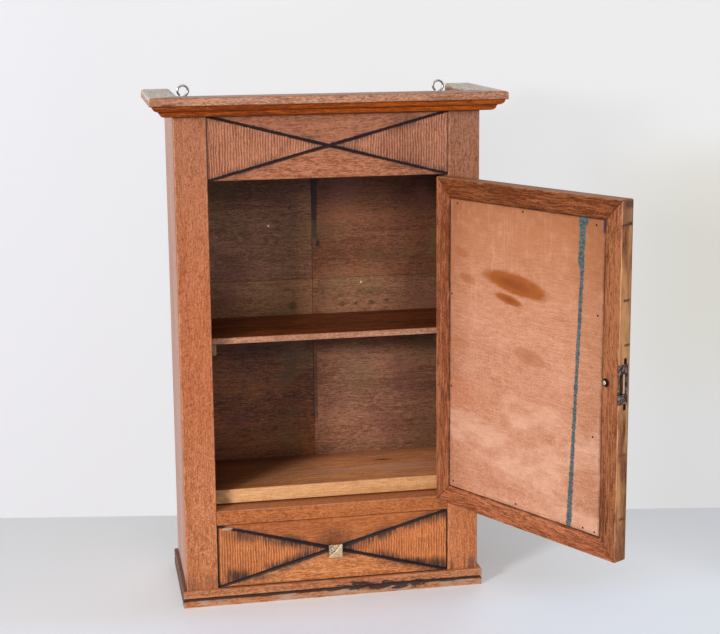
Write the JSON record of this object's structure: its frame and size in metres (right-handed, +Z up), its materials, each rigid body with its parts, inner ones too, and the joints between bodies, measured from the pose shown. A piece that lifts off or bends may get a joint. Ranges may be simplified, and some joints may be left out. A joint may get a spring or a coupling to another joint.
{
  "type": "hanging medicine cabinet",
  "caption": "Wall-hung wooden medicine cabinet with a side-hung mirror door, a turn latch, a shelf, a drawer, carved X fronts, a moulded cornice and screw eyes to hang it by.",
  "frame": {"origin": "middle of the case's underside, where it stands", "axes": "+X to the right seen from the front, +Y to the back (the wall), +Z up"},
  "size_m": [0.4951, 0.4123, 0.6274],
  "materials": {
    "oak_face": "worn clear varnish",
    "oak_moulding": "dark amber varnish",
    "oak_side": "faded varnish",
    "oak_inside": "dark brown stain",
    "oak_raw": "unfinished",
    "plywood": "thinly varnished",
    "mirror": "silvered glass",
    "steel": "zinc plated",
    "iron": "darkened by age",
    "brass": "tarnished"
  },
  "bodies": {
    "case": {"left_stile": "oak_face", "right_stile": "oak_face", "frieze_rail": "oak_face", "drawer_rail": "oak_face", "plinth_front": "oak_face", "plinth_left": "oak_face", "plinth_right": "oak_face", "cornice_front": "oak_moulding", "cornice_left": "oak_moulding", "cornice_right": "oak_moulding", "left_side_panel": "oak_side", "right_side_panel": "oak_side", "top_board": "oak_inside", "bottom_board": "oak_inside", "shelf": "oak_inside", "drawer_kicker_left": "oak_inside", "drawer_kicker_right": "oak_inside", "drawer_guide_left": "oak_inside", "drawer_guide_right": "oak_inside", "back_board_lower_left": "oak_inside", "back_board_lower_right": "oak_inside", "back_board_upper_left": "oak_inside", "back_board_upper_right": "oak_inside", "compartment_floor": "oak_raw", "shelf_bearer_left": "oak_raw", "shelf_bearer_right": "oak_raw", "screw_eye_left": "steel", "screw_eye_right": "steel", "hinge_lower_case_leaf": "iron", "hinge_upper_case_leaf": "iron", "hinge_lower_pin": "iron", "hinge_upper_pin": "iron", "strike_plate": "iron", "strike_screw_lower": "iron", "strike_screw_upper": "iron"},
    "door": {"door_top_rail": "oak_face", "door_bottom_rail": "oak_face", "door_lock_stile": "oak_face", "door_hinge_stile": "oak_face", "mirror_glass": "mirror", "door_backing_panel": "plywood", "hinge_lower_door_leaf": "iron", "hinge_upper_door_leaf": "iron", "latch_plate": "iron", "latch_screw_lower": "iron", "latch_screw_upper": "iron"},
    "latch_knob": {"door_knob": "brass", "latch_spindle": "iron", "latch_cam": "iron"},
    "latch_bolt": {"latch_bolt": "brass"},
    "drawer": {"drawer_front": "oak_face", "drawer_side_left": "oak_raw", "drawer_side_right": "oak_raw", "drawer_back": "oak_raw", "drawer_bottom": "plywood", "drawer_knob": "brass", "drawer_knob_screw": "steel"}
  },
  "joints": [
    {"name": "door_swing", "type": "hinge", "parent": "case", "child": "door", "pos_m": [0.144, -0.077, 0.32], "axis": [0, 0, 1], "range_deg": [-119, 61]},
    {"name": "knob_turn", "type": "hinge", "parent": "door", "child": "latch_knob", "pos_m": [0.27155, -0.31329, 0.32], "axis": [0.8746, 0.4848, 0], "range_deg": [0, 90]},
    {"name": "bolt_slide", "type": "slide", "parent": "door", "child": "latch_bolt", "axis": [0.4848, -0.8746, 0], "range_m": [0, 0.0055]},
    {"name": "drawer_slide", "type": "slide", "parent": "case", "child": "drawer", "axis": [0, -1, 0], "range_m": [0, 0.085]}
  ],
  "couplings": [
    {"joint": "bolt_slide", "follows": "knob_turn", "m_per_rad": 0.0035}
  ]
}
